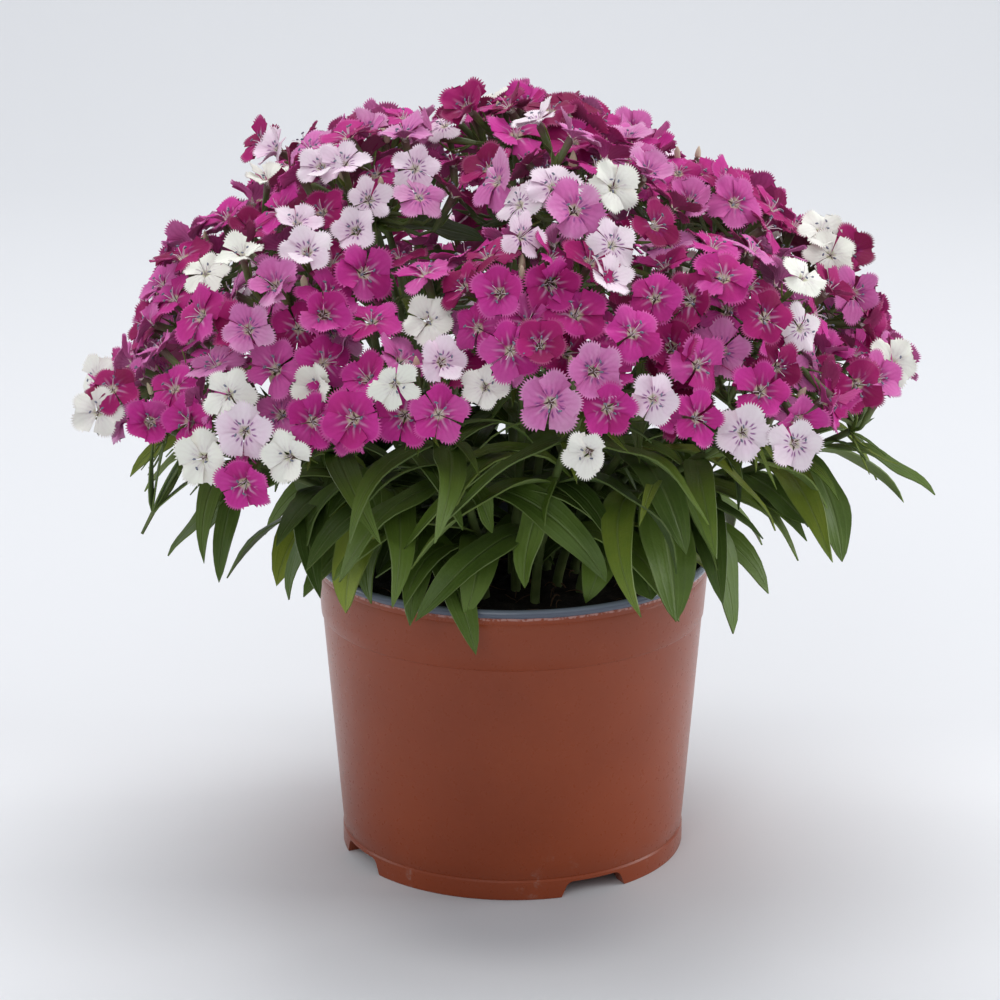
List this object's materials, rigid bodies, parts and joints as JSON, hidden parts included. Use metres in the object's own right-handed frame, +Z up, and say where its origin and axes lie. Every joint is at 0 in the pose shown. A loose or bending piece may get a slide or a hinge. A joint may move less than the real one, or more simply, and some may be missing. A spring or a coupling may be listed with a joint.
{
  "type": "potted dianthus plant",
  "caption": "Domed dianthus plant with dense heads of toothed five-petalled flowers above narrow pointed leaves, growing in a round plastic nursery pot.",
  "frame": {"origin": "on the pot's axis at the bottom of its foot, on the surface that it stands on", "axes": "+Z up along the pot's axis, -Y towards the viewer of the picture, +X to their right"},
  "size_m": [0.3184, 0.2962, 0.2977],
  "materials": {
    "pot": "satin terracotta thermoformed plastic, slate blue-grey on the inside and the rim bead",
    "peat": null,
    "leaf": null,
    "petal": "velvety petals from white and blush to magenta and crimson; fabric stands for them"
  },
  "bodies": {
    "root": {"pot": "pot", "peat": "peat", "stem_01": "leaf", "stem_02": "leaf", "stem_03": "leaf", "stem_04": "leaf", "stem_05": "leaf", "stem_06": "leaf", "stem_07": "leaf", "stem_08": "leaf", "stem_09": "leaf", "stem_10": "leaf", "stem_11": "leaf", "stem_12": "leaf", "stem_13": "leaf", "stem_14": "leaf", "stem_15": "leaf", "stem_16": "leaf", "stem_17": "leaf", "stem_18": "leaf", "stem_19": "leaf", "stem_20": "leaf", "stem_21": "leaf", "stem_22": "leaf", "stem_23": "leaf", "stem_24": "leaf", "stem_25": "leaf", "stem_26": "leaf", "head_01": "petal", "head_02": "petal", "head_03": "petal", "head_04": "petal", "head_05": "petal", "head_06": "petal", "head_07": "petal", "head_08": "petal", "head_09": "petal", "head_10": "petal", "head_11": "petal", "head_12": "petal", "head_13": "petal", "head_14": "petal", "head_15": "petal", "head_16": "petal", "head_17": "petal", "head_18": "petal", "head_19": "petal", "head_20": "petal", "head_21": "petal", "head_22": "petal", "head_23": "petal", "head_24": "petal", "head_25": "petal", "head_26": "petal"}
  },
  "joints": []
}
